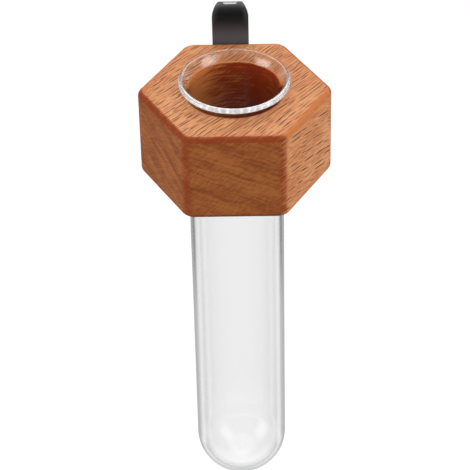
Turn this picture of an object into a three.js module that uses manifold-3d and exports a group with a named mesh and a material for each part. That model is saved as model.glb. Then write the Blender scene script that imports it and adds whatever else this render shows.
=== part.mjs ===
// Car vent vase: a glass tube that hangs by its lip in a six-sided wooden block,
// with a bent spring-steel clip screwed to the back of the block.
// Millimetres, +Z up. The origin is the seat inside the clip's hook, where the edge of
// a vent louver bears. The front of the block faces -Y and the vent is on the +Y side.
import * as THREE from "three";
import { mergeVertices } from "three/addons/utils/BufferGeometryUtils.js";
import Module from "manifold-3d";

const wasm = await Module();
wasm.setup();

// Wooden block
const BLOCK_ACROSS_FLATS = 44;
const BLOCK_HEIGHT = 25;
const BLOCK_CORNER_RADIUS = 4;
const BLOCK_EDGE_RADIUS = 1.5;

// Glass tube
const TUBE_DIAMETER = 25;
const TUBE_WALL = 1.3;
const TUBE_LENGTH = 133.5;
const LIP_OVERHANG = 1.9;
const LIP_EDGE_THICKNESS = 1.45;
const FLARE_RADIUS = 4.4;
const MOUTH_FLARE_RADIUS = 5.4;

// How the tube sits in the block
const BORE_CLEARANCE = 0.2;
const BORE_CHAMFER = 0.3;
const SEAT_GAP = 0.05;

// Spring clip
const CLIP_WIDTH = 9.6;
const CLIP_THICKNESS = 1;
const CLIP_EDGE_BREAK = 0.2;
const CLIP_BEND_RADIUS = 2;
const CLIP_RISE = 10.2;
const CLIP_FOOT_MARGIN = 3;
const CLIP_FOOT_ROUND = 2.5;
const CLIP_SIDE_OFFSET = 1;
const SHOULDER_START = THREE.MathUtils.degToRad(10);
const SHOULDER_END = THREE.MathUtils.degToRad(138);
const TONGUE_WIDTH = 6.2;
const TONGUE_LEAN = THREE.MathUtils.degToRad(13);
const TONGUE_STRAIGHT = 6.6;
const GRIP_RADIUS = 2.2;
const TIP_FLARE = THREE.MathUtils.degToRad(38);
const TIP_LENGTH = 4.2;

// Screws
const SCREW_SHANK_DIAMETER = 2.5;
const SCREW_POINT = 2;
const SCREW_POINT_COVER = 2.3;
const SCREW_HEAD_DIAMETER = 5;
const SCREW_HEAD_HEIGHT = 1.8;
const SCREW_RECESS_WIDTH = 0.7;
const SCREW_RECESS_SPAN = 2.6;
const SCREW_RECESS_DEPTH = 1;
const SCREW_HOLE_CLEARANCE = 0.25;
const PILOT_CLEARANCE = 0.1;
const LOWER_SCREW_INSET = 3.5;
const SCREW_PITCH = 8;

// Facets
const ROUND_SEGMENTS = 48;
const SCREW_SEGMENTS = 24;
const ARC_STEPS = 8;
const BEND_STEPS = 24;
const END_STEPS = 7;
const TIP_SWEEP = THREE.MathUtils.degToRad(80);
const MERGE_DISTANCE = 1e-4;
const OVERCUT = 1;

// Places and lengths that follow from the sizes
const blockBackY = -(CLIP_BEND_RADIUS + CLIP_THICKNESS);
const blockTopZ = CLIP_THICKNESS - CLIP_RISE;
const tubeAxisX = CLIP_SIDE_OFFSET;
const tubeAxisY = blockBackY - BLOCK_ACROSS_FLATS / 2;
const tubeRadius = TUBE_DIAMETER / 2;
const boreRadius = tubeRadius + BORE_CLEARANCE;
const legRearY = -CLIP_BEND_RADIUS;
const clipFootZ = blockTopZ - BLOCK_HEIGHT + CLIP_FOOT_MARGIN;
const backWall = BLOCK_ACROSS_FLATS / 2 - boreRadius;
const screwInWood = backWall - SCREW_POINT_COVER;
const screwLength = CLIP_THICKNESS + screwInWood;
const screwHeights = {
  clip_screw_upper: clipFootZ + LOWER_SCREW_INSET + SCREW_PITCH,
  clip_screw_lower: clipFootZ + LOWER_SCREW_INSET,
};

// A closed geometry as a solid for cutting and joining, without the flat slivers
// that a turned shape has where its profile meets the axis
function solidOf(geometry) {
  const bare = geometry.clone();
  bare.deleteAttribute("normal");
  bare.deleteAttribute("uv");
  const merged = mergeVertices(bare, MERGE_DISTANCE);
  const triangles = [];
  for (let i = 0; i < merged.index.count; i += 3) {
    const corners = [0, 1, 2].map((k) => merged.index.getX(i + k));
    if (new Set(corners).size === 3) {
      triangles.push(...corners);
    }
  }
  return new wasm.Manifold(new wasm.Mesh({
    numProp: 3,
    vertProperties: new Float32Array(merged.attributes.position.array),
    triVerts: new Uint32Array(triangles),
  }));
}

// A cut or joined solid as a geometry again
function geometryOf(solid) {
  const mesh = solid.getMesh();
  const geometry = new THREE.BufferGeometry();
  geometry.setAttribute("position", new THREE.BufferAttribute(mesh.vertProperties, 3));
  geometry.setIndex(new THREE.BufferAttribute(mesh.triVerts, 1));
  geometry.computeVertexNormals();
  return geometry;
}

// An upright cylinder or cone between two heights
function uprightCone(bottomRadius, topRadius, bottomZ, topZ, segments) {
  const cone = new THREE.CylinderGeometry(topRadius, bottomRadius, topZ - bottomZ, segments);
  cone.rotateX(Math.PI / 2);
  cone.translate(0, 0, (bottomZ + topZ) / 2);
  return cone;
}

// A round bar along Y between two depths, for the screw holes
function barAlongY(radius, frontY, rearY, z) {
  const bar = new THREE.CylinderGeometry(radius, radius, rearY - frontY, SCREW_SEGMENTS);
  bar.translate(0, (frontY + rearY) / 2, z);
  return bar;
}

// A profile of (radius, height) points turned round the upright axis
function turned(profile, segments) {
  const lathe = new THREE.LatheGeometry(profile, segments);
  lathe.rotateX(Math.PI / 2);
  return lathe;
}

// Points on an arc in the (radius, height) plane
function arcPoints(centreR, centreZ, radius, startAngle, endAngle, steps) {
  const points = [];
  for (let i = 0; i <= steps; i += 1) {
    const angle = startAngle + (endAngle - startAngle) * (i / steps);
    points.push(new THREE.Vector2(
      centreR + radius * Math.cos(angle),
      centreZ + radius * Math.sin(angle),
    ));
  }
  return points;
}

// Outline of the block seen from above: a hexagon with flats to the front and back
function hexagonOutline() {
  const sharpRadius = BLOCK_ACROSS_FLATS / Math.sqrt(3);
  const arcCentre = sharpRadius - BLOCK_CORNER_RADIUS / Math.cos(Math.PI / 6);
  const outline = new THREE.Shape();
  for (let corner = 0; corner < 6; corner += 1) {
    const angle = corner * Math.PI / 3;
    outline.absarc(
      arcCentre * Math.cos(angle),
      arcCentre * Math.sin(angle),
      BLOCK_CORNER_RADIUS,
      angle - Math.PI / 6,
      angle + Math.PI / 6,
      false,
    );
  }
  outline.closePath();
  return outline;
}

// Block: rounded prism, bored through with eased bore edges, with two blind pilot holes at the back.
// Its own axis is upright through its middle and its top face is at height 0.
function blockGeometry() {
  const prism = new THREE.ExtrudeGeometry(hexagonOutline(), {
    depth: BLOCK_HEIGHT - 2 * BLOCK_EDGE_RADIUS,
    curveSegments: ARC_STEPS,
    bevelThickness: BLOCK_EDGE_RADIUS,
    bevelSize: BLOCK_EDGE_RADIUS,
    bevelOffset: -BLOCK_EDGE_RADIUS,
    bevelSegments: ARC_STEPS / 2,
  });
  prism.translate(0, 0, BLOCK_EDGE_RADIUS - BLOCK_HEIGHT);

  const wideRadius = boreRadius + BORE_CHAMFER + OVERCUT;
  const bore = solidOf(uprightCone(
    boreRadius, boreRadius, -BLOCK_HEIGHT - OVERCUT, OVERCUT, ROUND_SEGMENTS,
  ));
  const topChamfer = solidOf(uprightCone(
    boreRadius, wideRadius, -BORE_CHAMFER, OVERCUT, ROUND_SEGMENTS,
  ));
  const bottomChamfer = solidOf(uprightCone(
    wideRadius, boreRadius, -BLOCK_HEIGHT - OVERCUT, BORE_CHAMFER - BLOCK_HEIGHT, ROUND_SEGMENTS,
  ));

  let block = solidOf(prism).subtract(bore).subtract(topChamfer).subtract(bottomChamfer);
  const backY = BLOCK_ACROSS_FLATS / 2;
  const pilotDepth = screwInWood + PILOT_CLEARANCE;
  for (const height of Object.values(screwHeights)) {
    const pilot = barAlongY(
      SCREW_SHANK_DIAMETER / 2 + PILOT_CLEARANCE,
      backY - pilotDepth,
      backY + OVERCUT,
      height - blockTopZ,
    );
    pilot.translate(-CLIP_SIDE_OFFSET, 0, 0);
    block = block.subtract(solidOf(pilot));
  }
  return geometryOf(block);
}

// Height of the flare's arc centre, measured from the top of the block, at which the flare
// comes to rest on the lower edge of the bore's chamfer
function flareCentreHeight() {
  const reach = FLARE_RADIUS - SEAT_GAP;
  const inset = FLARE_RADIUS - BORE_CLEARANCE;
  return -BORE_CHAMFER - Math.sqrt(reach ** 2 - inset ** 2);
}

// Tube: a wall turned round its axis, with a round bottom and a lip that flares out like a trumpet.
// The lip's rounded edge is tangent to the flare outside it and to the one inside the mouth.
// Heights are from the top of the block.
function tubeGeometry() {
  const innerRadius = tubeRadius - TUBE_WALL;
  const edgeRadius = LIP_EDGE_THICKNESS / 2;
  const edgeR = tubeRadius + LIP_OVERHANG - edgeRadius;
  const flareR = tubeRadius + FLARE_RADIUS;
  const flareZ = flareCentreHeight();
  const edgeZ = flareZ + Math.sqrt((FLARE_RADIUS + edgeRadius) ** 2 - (flareR - edgeR) ** 2);
  const lipTopZ = edgeZ + edgeRadius;
  const bottomCentreZ = lipTopZ - TUBE_LENGTH + tubeRadius;
  const flareEnd = Math.atan2(edgeZ - flareZ, edgeR - flareR);
  const mouthR = innerRadius + MOUTH_FLARE_RADIUS;
  const mouthZ = edgeZ - Math.sqrt((MOUTH_FLARE_RADIUS - edgeRadius) ** 2 - (mouthR - edgeR) ** 2);
  const mouthStart = Math.atan2(edgeZ - mouthZ, edgeR - mouthR);

  const outerBottom = arcPoints(0, bottomCentreZ, tubeRadius, -Math.PI / 2, 0, ARC_STEPS);
  const flare = arcPoints(flareR, flareZ, FLARE_RADIUS, Math.PI, flareEnd, ARC_STEPS);
  const edge = arcPoints(edgeR, edgeZ, edgeRadius, flareEnd - Math.PI, mouthStart, ARC_STEPS);
  const mouth = arcPoints(mouthR, mouthZ, MOUTH_FLARE_RADIUS, mouthStart, Math.PI, ARC_STEPS);
  const innerBottom = arcPoints(0, bottomCentreZ, innerRadius, 0, -Math.PI / 2, ARC_STEPS);
  outerBottom[0].x = 0;
  innerBottom.at(-1).x = 0;

  const profile = [...outerBottom, ...flare, ...edge.slice(1), ...mouth.slice(1), ...innerBottom];
  return turned(profile, ROUND_SEGMENTS);
}

// A pen that walks the clip's midline, seen from the side, and marks stations with the strip's width.
// Its heading is measured from straight up towards the vent.
class MidlinePen {
  constructor(y, z) {
    this.y = y;
    this.z = z;
    this.heading = 0;
    this.stations = [];
  }

  mark(width) {
    this.stations.push({ y: this.y, z: this.z, heading: this.heading, width });
  }

  goStraight(length) {
    this.y += length * Math.sin(this.heading);
    this.z += length * Math.cos(this.heading);
  }

  goRound(radius, angle) {
    const side = Math.sign(angle);
    const centreY = this.y + side * radius * Math.cos(this.heading);
    const centreZ = this.z - side * radius * Math.sin(this.heading);
    this.heading += angle;
    this.y = centreY - side * radius * Math.cos(this.heading);
    this.z = centreZ + side * radius * Math.sin(this.heading);
  }
}

// Stations from the foot of the base leg, up over the hook and down to the tip of the tongue
function clipStations() {
  const midRadius = CLIP_BEND_RADIUS + CLIP_THICKNESS / 2;
  const tipRadius = TONGUE_WIDTH / 2;
  const pen = new MidlinePen(-midRadius, clipFootZ);

  // Foot with rounded corners, then the base leg up to the hook
  for (let i = 0; i <= END_STEPS; i += 1) {
    const angle = (Math.PI / 2) * (i / END_STEPS);
    pen.goStraight(clipFootZ + CLIP_FOOT_ROUND * (1 - Math.cos(angle)) - pen.z);
    pen.mark(CLIP_WIDTH - 2 * CLIP_FOOT_ROUND * (1 - Math.sin(angle)));
  }
  pen.goStraight(-CLIP_BEND_RADIUS - pen.z);
  pen.mark(CLIP_WIDTH);

  // Hook, whose shoulders ease in to the tongue's width over the crest
  for (let i = 1; i <= BEND_STEPS; i += 1) {
    pen.goRound(midRadius, (Math.PI + TONGUE_LEAN) / BEND_STEPS);
    const eased = THREE.MathUtils.smoothstep(pen.heading, SHOULDER_START, SHOULDER_END);
    pen.mark(THREE.MathUtils.lerp(CLIP_WIDTH, TONGUE_WIDTH, eased));
  }

  // Tongue, leaning in to the grip and flaring out again
  pen.goStraight(TONGUE_STRAIGHT);
  pen.mark(TONGUE_WIDTH);
  for (let i = 1; i <= ARC_STEPS; i += 1) {
    pen.goRound(GRIP_RADIUS, -(TONGUE_LEAN + TIP_FLARE) / ARC_STEPS);
    pen.mark(TONGUE_WIDTH);
  }
  pen.goStraight(TIP_LENGTH - tipRadius);
  pen.mark(TONGUE_WIDTH);

  // Round tip
  for (let i = 1; i <= END_STEPS; i += 1) {
    const before = TIP_SWEEP * ((i - 1) / END_STEPS);
    const angle = TIP_SWEEP * (i / END_STEPS);
    pen.goStraight(tipRadius * (Math.sin(angle) - Math.sin(before)));
    pen.mark(TONGUE_WIDTH * Math.cos(angle));
  }
  return pen.stations;
}

// Cross-section of the strip: a flat bar with broken edges, as (across, through) points
function stripSection(width) {
  const halfWidth = width / 2;
  const halfThickness = CLIP_THICKNESS / 2;
  const broken = Math.min(CLIP_EDGE_BREAK, halfWidth / 2);
  const inX = halfWidth - broken;
  const inT = halfThickness - broken;
  return [
    [-inX, -halfThickness], [inX, -halfThickness], [halfWidth, -inT], [halfWidth, inT],
    [inX, halfThickness], [-inX, halfThickness], [-halfWidth, inT], [-halfWidth, -inT],
  ];
}

// Closed skin over a row of rings that all have the same number of points
function loftGeometry(rings) {
  const size = rings[0].length;
  const positions = rings.flat(2);
  const triangles = [];
  for (let ring = 0; ring + 1 < rings.length; ring += 1) {
    for (let i = 0; i < size; i += 1) {
      const a = ring * size + i;
      const b = ring * size + (i + 1) % size;
      triangles.push(a, b, b + size, a, b + size, a + size);
    }
  }
  const last = (rings.length - 1) * size;
  for (let i = 1; i + 1 < size; i += 1) {
    triangles.push(0, i + 1, i);
    triangles.push(last, last + i, last + i + 1);
  }
  const geometry = new THREE.BufferGeometry();
  geometry.setAttribute("position", new THREE.Float32BufferAttribute(positions, 3));
  geometry.setIndex(triangles);
  return geometry;
}

// Clip: the strip lofted along its midline, with two screw holes through the base leg
function clipGeometry() {
  const rings = clipStations().map((station) => (
    stripSection(station.width).map(([across, through]) => [
      across,
      station.y + through * Math.cos(station.heading),
      station.z - through * Math.sin(station.heading),
    ])
  ));
  let strip = solidOf(loftGeometry(rings));
  for (const height of Object.values(screwHeights)) {
    const hole = barAlongY(
      SCREW_SHANK_DIAMETER / 2 + SCREW_HOLE_CLEARANCE,
      blockBackY - OVERCUT,
      legRearY + OVERCUT,
      height,
    );
    strip = strip.subtract(solidOf(hole));
  }
  return geometryOf(strip);
}

// Screw: domed pan head, straight shank and point, with a cross recess in the head.
// Its own axis is upright, the underside of the head is at height 0 and the point is down.
function screwGeometry() {
  const headRadius = SCREW_HEAD_DIAMETER / 2;
  const shankRadius = SCREW_SHANK_DIAMETER / 2;
  const domeHeight = SCREW_HEAD_HEIGHT / 2;
  const domeRadius = (headRadius ** 2 + domeHeight ** 2) / (2 * domeHeight);
  const domeCentreZ = SCREW_HEAD_HEIGHT - domeRadius;
  const dome = arcPoints(
    0, domeCentreZ, domeRadius,
    Math.asin((domeHeight - domeCentreZ) / domeRadius), Math.PI / 2, ARC_STEPS / 2,
  );
  dome.at(-1).x = 0;
  const profile = [
    new THREE.Vector2(0, -screwLength),
    new THREE.Vector2(shankRadius, SCREW_POINT - screwLength),
    new THREE.Vector2(shankRadius, 0),
    new THREE.Vector2(headRadius, 0),
    ...dome,
  ];
  let screw = solidOf(turned(profile, SCREW_SEGMENTS));
  for (const turn of [0, Math.PI / 2]) {
    const slot = new THREE.BoxGeometry(SCREW_RECESS_SPAN, SCREW_RECESS_WIDTH, 2 * SCREW_RECESS_DEPTH);
    slot.rotateZ(turn);
    slot.translate(0, 0, SCREW_HEAD_HEIGHT);
    screw = screw.subtract(solidOf(slot));
  }
  return geometryOf(screw);
}

// Finishes, as the photograph shows them
const finishes = {
  wood: new THREE.MeshStandardMaterial({ color: 0xc98a5e, roughness: 0.6, metalness: 0 }),
  glass: new THREE.MeshStandardMaterial({
    color: 0xeef2f2, roughness: 0.03, metalness: 0, transparent: true, opacity: 0.3,
  }),
  blackSteel: new THREE.MeshStandardMaterial({ color: 0x202021, roughness: 0.4, metalness: 0.3 }),
  screwSteel: new THREE.MeshStandardMaterial({ color: 0x2a2a2b, roughness: 0.35, metalness: 0.8 }),
};

function namedMesh(name, geometry, material) {
  const mesh = new THREE.Mesh(geometry, material);
  mesh.name = name;
  return mesh;
}

const vase = new THREE.Group();

const holder = new THREE.Group();
holder.position.set(tubeAxisX, tubeAxisY, blockTopZ);
holder.add(namedMesh("wood_block", blockGeometry(), finishes.wood));
holder.add(namedMesh("glass_tube", tubeGeometry(), finishes.glass));
vase.add(holder);

vase.add(namedMesh("vent_clip", clipGeometry(), finishes.blackSteel));
for (const [name, height] of Object.entries(screwHeights)) {
  const screw = namedMesh(name, screwGeometry(), finishes.screwSteel);
  screw.rotation.x = -Math.PI / 2;
  screw.position.set(0, legRearY, height);
  vase.add(screw);
}

export default vase;
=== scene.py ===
"""Car vent vase: the fine surface and finish of every piece, and the studio around them."""
import math

import bmesh
import bpy
from bpy.props import FloatProperty, FloatVectorProperty, IntProperty, PointerProperty
from mathutils import Matrix, Vector


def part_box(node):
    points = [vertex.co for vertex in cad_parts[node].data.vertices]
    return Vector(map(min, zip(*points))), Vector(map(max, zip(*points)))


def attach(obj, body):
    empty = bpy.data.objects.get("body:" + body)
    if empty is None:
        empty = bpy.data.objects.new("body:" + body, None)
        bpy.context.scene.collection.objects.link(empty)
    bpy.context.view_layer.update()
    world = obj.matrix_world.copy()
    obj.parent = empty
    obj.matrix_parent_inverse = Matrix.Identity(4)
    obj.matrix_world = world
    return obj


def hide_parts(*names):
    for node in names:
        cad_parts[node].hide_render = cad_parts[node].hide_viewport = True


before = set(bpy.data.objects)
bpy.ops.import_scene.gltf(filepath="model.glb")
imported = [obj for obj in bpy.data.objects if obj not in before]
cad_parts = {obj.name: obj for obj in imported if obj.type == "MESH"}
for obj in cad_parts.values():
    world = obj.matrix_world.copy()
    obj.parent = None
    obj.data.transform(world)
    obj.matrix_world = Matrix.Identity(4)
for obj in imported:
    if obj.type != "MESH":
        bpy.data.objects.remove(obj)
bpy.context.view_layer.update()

bl_info = {
    "name": "Car vent vase",
    "version": (1, 0, 0),
    "blender": (4, 5, 0),
    "location": "3D View > Sidebar > Vent Vase",
    "description": "Builds a bud vase for a car's air vent, piece by piece, with its finishes",
    "category": "Object",
}

MM = 0.001
MERGE_DISTANCE = 0.0001 * MM
WHITE = (1.0, 1.0, 1.0)

# Places that every piece shares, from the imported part
BLOCK_LOW, BLOCK_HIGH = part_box("wood_block")
TUBE_LOW, TUBE_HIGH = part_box("glass_tube")
CLIP_LOW, CLIP_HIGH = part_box("vent_clip")
UPPER_SCREW_LOW, UPPER_SCREW_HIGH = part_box("clip_screw_upper")
LOWER_SCREW_LOW, LOWER_SCREW_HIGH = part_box("clip_screw_lower")
AXIS_X = (BLOCK_LOW.x + BLOCK_HIGH.x) / 2
AXIS_Y = (BLOCK_LOW.y + BLOCK_HIGH.y) / 2
BLOCK_TOP_CENTRE = Vector((AXIS_X, AXIS_Y, BLOCK_HIGH.z))

# Rounded edges: the attribute that marks them, how far corners and the start of an edge count as rubbed,
# how fast that grows over an edge, and where it starts across a face and from the middle of a side
EDGE_ATTRIBUTE = "edge"
CORNER_WEAR = 0.8
BAND_START = 0.4
BAND_GROWTH = 1.6
FACE_BORDER = 0.82
SIDE_BORDER = 0.37

# Spacing and half size of the wood's marks in millimetres: along the fibres, across, through their sheets
NEEDLES = (5.0, 1.04, 14.0), (3.2, 0.15, 22.0)
TICKS = (6.6, 1.8, 14.0), (3.0, 0.16, 22.0)
HAIRS = (3.6, 0.6, 8.0), (1.4, 0.11, 6.0)

# Lip of the glass, crest and tip of the clip, and the screws' holes, threads and recesses
LIP_ROUGHNESS = 0.17
CREST_LEAN = math.radians(12)
TIP_TURN = math.radians(86)
PILOT_GAP = 0.1 * MM
PLAIN_SHANK = 1.1 * MM
THREAD_RUN_IN = 1.2 * MM
THREAD_RUN_OUT = 0.6 * MM
RIDGE_CREST, RIDGE_FOOT = 0.05, 0.42
RECESS_TAPER = (0.5, 0.7, 1.0)

# Light: turns after which it counts as running down the wall, what is left of it then, and the lamps' looks
FEW_TURNS = 3.5
LONG_WAY_LEFT = 0.6
TOP_LAMP_WAY = Vector((0.1, 0.6, 0.79))
GLINT = 3.4
FAINT_GLINT = 0.65
MEAN_FADE = 0.6

# Floor to the camera, and what the camera can see: width of its sensor, nearest and farthest
FLOOR_GLOW = 0.72
FLOOR_FADED = 0.6
SENSOR_WIDTH = 36.0
NEAREST_SEEN = 0.01
FARTHEST_SEEN = 50.0


def screen_colour(red, green, blue):
    """A colour as a screen shows it, 0 to 255, turned into scene-linear values."""
    shares = [value / 255 for value in (red, green, blue)]
    return tuple(s / 12.92 if s <= 0.04045 else ((s + 0.055) / 1.055) ** 2.4 for s in shares)


def toned(colour, share):
    """A darker tone of a colour."""
    return tuple(share * value for value in colour)


# Settings


def length_setting(name, description, millimetres):
    """A length that a user may change, given in millimetres."""
    return FloatProperty(name=name, description=description, default=millimetres * MM, min=0.0,
                         precision=5, unit="LENGTH")


def angle_setting(name, description, degrees):
    """An angle that a user may change, given in degrees."""
    return FloatProperty(name=name, description=description, default=math.radians(degrees),
                         subtype="ANGLE", unit="ROTATION")


def share_setting(name, description, share):
    """A share from nothing to the whole that a user may change."""
    return FloatProperty(name=name, description=description, default=share, min=0.0, max=1.0,
                         subtype="FACTOR")


def number_setting(name, description, number, least=0.0, unit="NONE"):
    """A number that a user may change."""
    return FloatProperty(name=name, description=description, default=number, min=least, unit=unit)


def count_setting(name, description, count, least):
    """A whole number that a user may change."""
    return IntProperty(name=name, description=description, default=count, min=least)


def colour_setting(name, description, *screen_values):
    """A colour that a user may change, given as a screen shows it."""
    return FloatVectorProperty(name=name, description=description, default=screen_colour(*screen_values),
                               min=0.0, max=1.0, size=3, subtype="COLOR")


class BlockSettings(bpy.types.PropertyGroup):
    """Sizes and colours of the wooden block."""

    corner_radius: length_setting("Corner radius", "Radius of the six upright corners", 4)
    edge_radius: length_setting("Edge radius", "Rounding of the edges round the top and the bottom", 1.5)
    bore_diameter: length_setting("Bore diameter", "Width of the bore that holds the tube", 25.4)
    bore_round: length_setting("Bore edge", "Rounding of both edges of the bore", 0.3)
    pilot_diameter: length_setting("Pilot holes", "Width of the two blind screw holes in the back", 2.7)
    top_mark_heading: angle_setting("Marks on top", "Way the ray marks run on the top, seen from above", 49)
    side_mark_dip: angle_setting("Marks on the side", "Downward slope of the ray marks on the right", 12)
    band_normal: FloatVectorProperty(
        name="Growth bands", description="Direction across the growth bands",
        default=(0.339, -0.298, 0.893), size=3, subtype="DIRECTION")
    face_colour: colour_setting("Long grain", "Faces that the fibres run along", 192, 113, 63)
    light_colour: colour_setting("Light streaks", "Pale streaks between the marks", 230, 163, 111)
    end_colour: colour_setting("End grain", "Faces that cut across the fibres", 168, 98, 46)
    band_colour: colour_setting("Bands", "Darker growth bands on the end grain", 134, 68, 26)
    mark_colour: colour_setting("Ray marks", "Short dark marks along the fibres", 84, 27, 5)
    edge_colour: colour_setting("Rounded edges", "Warmer wood on the sanded edges", 140, 52, 6)
    long_edge_colour: colour_setting("Long edges", "Sanded edges that the fibres run along", 204, 118, 60)
    # Painted shade: darkens the wood under the front of the lip and along the block's lower edge
    stain_colour: colour_setting("Painted shade", "Painted shade under the lip's front and along the block's foot", 58, 22, 14)
    # Painted light and shade: the bore's two tones, lit on the walls that face the fibres' way and shaded on
    # the others
    lifted_colour: colour_setting("Bore, lifted and shaded", "Bore where the drill lifted the fibres, with painted shade", 178, 56, 8)
    laid_colour: colour_setting("Bore, flat and lit", "Bore where the drill pressed the fibres flat, with painted light", 255, 158, 84)


class TubeSettings(bpy.types.PropertyGroup):
    """Sizes of the glass tube and how it bends light."""

    diameter: length_setting("Diameter", "Outside of the tube", 25)
    wall: length_setting("Wall", "Thickness of the glass", 1.3)
    edge_thickness: length_setting("Lip edge", "Thickness of the lip's rounded edge", 1.45)
    flare_radius: length_setting("Flare", "Radius of the curve under the lip", 4.4)
    mouth_radius: length_setting("Mouth", "Radius of the curve inside the mouth", 5.4)
    segments: count_setting("Segments", "Facets round the tube", 144, least=12)
    ior: number_setting("IOR", "How strongly the glass bends light", 1.5, least=1.0)


class ClipSettings(bpy.types.PropertyGroup):
    """Sizes and finish of the spring clip."""

    thickness: length_setting("Thickness", "Thickness of the steel strip", 1)
    edge_round: length_setting("Edge round", "Rounding of the strip's edges", 0.2)
    bend_radius: length_setting("Bend radius", "Inside radius of the hook", 2)
    foot_round: length_setting("Foot round", "Rounding of the foot's corners", 2.5)
    shoulder_start: angle_setting("Shoulder start", "Where round the hook the strip starts to narrow", 10)
    shoulder_end: angle_setting("Shoulder end", "Where round the hook the strip is narrowest", 138)
    tongue_width: length_setting("Tongue width", "Width of the strip behind the hook", 6.2)
    tongue_lean: angle_setting("Tongue lean", "How far the tongue leans in towards the block", 13)
    tongue_straight: length_setting("Tongue straight", "Straight run from the hook to the grip", 6.6)
    grip_radius: length_setting("Grip radius", "Radius of the bend at the grip", 2.2)
    tip_flare: angle_setting("Tip flare", "How far the tip turns out from upright", 38)
    tip_length: length_setting("Tip length", "Length of the tip past the grip", 4.2)
    hole_diameter: length_setting("Screw holes", "Width of the two holes in the base leg", 3)
    coat_colour: colour_setting("Coat", "Satin black coat", 26, 26, 28)
    # Painted reflection: this coat colour also lightens the strip just above the block
    worn_colour: colour_setting("Worn and lit coat", "Coat worn by handling, and painted reflection just above the block", 104, 106, 112)
    # Painted highlight: this steel colour also makes the bright patch on the hook's crest
    steel_colour: colour_setting("Bare steel", "Steel where the coat is rubbed off, and painted highlight on the crest", 122, 122, 124)
    crest_width: length_setting("Crest highlight", "Width of the painted highlight and rubbed place on the hook's crest", 5.4)


class ScrewSettings(bpy.types.PropertyGroup):
    """Sizes and finish of the clip's two screws."""

    shank_diameter: length_setting("Shank", "Width of the shank over its thread", 2.5)
    point: length_setting("Point", "Length of the point", 2)
    head_height: length_setting("Head height", "Height of the pan head", 1.8)
    head_edge: length_setting("Head edge", "Rounding round the head", 0.35)
    recess_span: length_setting("Recess span", "Length of each arm of the cross recess, end to end", 2.6)
    recess_width: length_setting("Recess width", "Width of each arm of the cross recess", 0.7)
    recess_depth: length_setting("Recess depth", "Depth of the cross recess", 1)
    thread_pitch: length_setting("Thread pitch", "Rise of the thread in one turn", 0.9)
    thread_depth: length_setting("Thread depth", "Height of the thread over the core", 0.26)
    segments: count_setting("Segments", "Facets round a screw", 48, least=8)
    seed: count_setting("Turn seed", "Sets how far each screw is turned", 4, least=0)
    oxide_colour: colour_setting("Black oxide", "Darkened steel of the screws", 46, 46, 49)
    bare_colour: colour_setting("Bare steel", "Steel where a driver has rubbed the recess", 120, 119, 118)


class StageSettings(bpy.types.PropertyGroup):
    """Camera, floor and light."""

    camera_elevation: angle_setting("Elevation", "Height of the camera over the block's top", 37.8886)
    camera_azimuth: angle_setting("Azimuth", "Camera's place round the block, from the front", 0.7199)
    camera_roll: angle_setting("Roll", "Turn of the camera about its own axis", -1.2559)
    camera_distance: length_setting("Distance", "From the block's top to the camera", 579.0872)
    camera_lens: number_setting("Lens", "Focal length on a 36 mm sensor, in millimetres", 173.226, least=1.0)
    camera_right: length_setting("Right", "Sideways move of the camera", 0.1372)
    camera_down: length_setting("Down", "Downward move of the camera", 37.3543)
    floor_drop: length_setting("Floor drop", "Height of the hanging tube over the floor", 70)
    floor_size: length_setting("Floor size", "Width of the floor", 6000)
    floor_colour: colour_setting("Floor", "Pale floor", 240, 240, 240)
    lamp_distance: length_setting("Lamp distance", "From the block to each side lamp", 1000)
    right_azimuth: angle_setting("Right azimuth", "Place of the right lamp, from the front", 62)
    left_azimuth: angle_setting("Left azimuth", "Place of the left lamp, from the front", -72)
    right_elevation: angle_setting("Right elevation", "Height of the right lamp over the block's top", 30)
    left_elevation: angle_setting("Left elevation", "Height of the left lamp over the block's top", 14)
    lamp_width: length_setting("Lamp width", "Width of the side lamps", 1000)
    lamp_height: length_setting("Lamp height", "Height of the side lamps", 1400)
    right_power: number_setting("Right lamp", "Power of the right lamp, in watts", 3.1, unit="POWER")
    left_power: number_setting("Left lamp", "Power of the left lamp, in watts", 3.4, unit="POWER")
    top_power: number_setting("Top lamp", "Power of the top lamp, in watts", 0.33, unit="POWER")
    top_distance: length_setting("Top distance", "From the block to the top lamp", 300)
    top_size: length_setting("Top size", "Width of the top lamp", 500)
    light_turns: count_setting("Light turns", "Turns that light may take down the glass", 320, least=12)
    sky: share_setting("Sky", "Strength of the light from all round", 0.62)


# Node trees


def sign(operation, swapped=False):
    """A method that adds a math node for a sign between a flow and another value."""
    def method(self, other):
        values = (other, self) if swapped else (self, other)
        return self.wire.math(operation, *values)
    return method


class Flow:
    """A node's output to reckon with: each sign adds a math node to its tree."""

    def __init__(self, wire, socket):
        self.wire = wire
        self.socket = socket

    def __abs__(self):
        return self.wire.math("ABSOLUTE", self)

    __add__ = sign("ADD")
    __sub__ = sign("SUBTRACT")
    __rsub__ = sign("SUBTRACT", swapped=True)
    __mul__ = sign("MULTIPLY")
    __truediv__ = sign("DIVIDE")
    __gt__ = sign("GREATER_THAN")
    __lt__ = sign("LESS_THAN")


class Outlets:
    """All outputs of a node, each given by its name or place as a flow."""

    def __init__(self, wire, node):
        self.wire = wire
        self.node = node

    def __getitem__(self, name):
        return Flow(self.wire, self.node.outputs[name])


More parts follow.
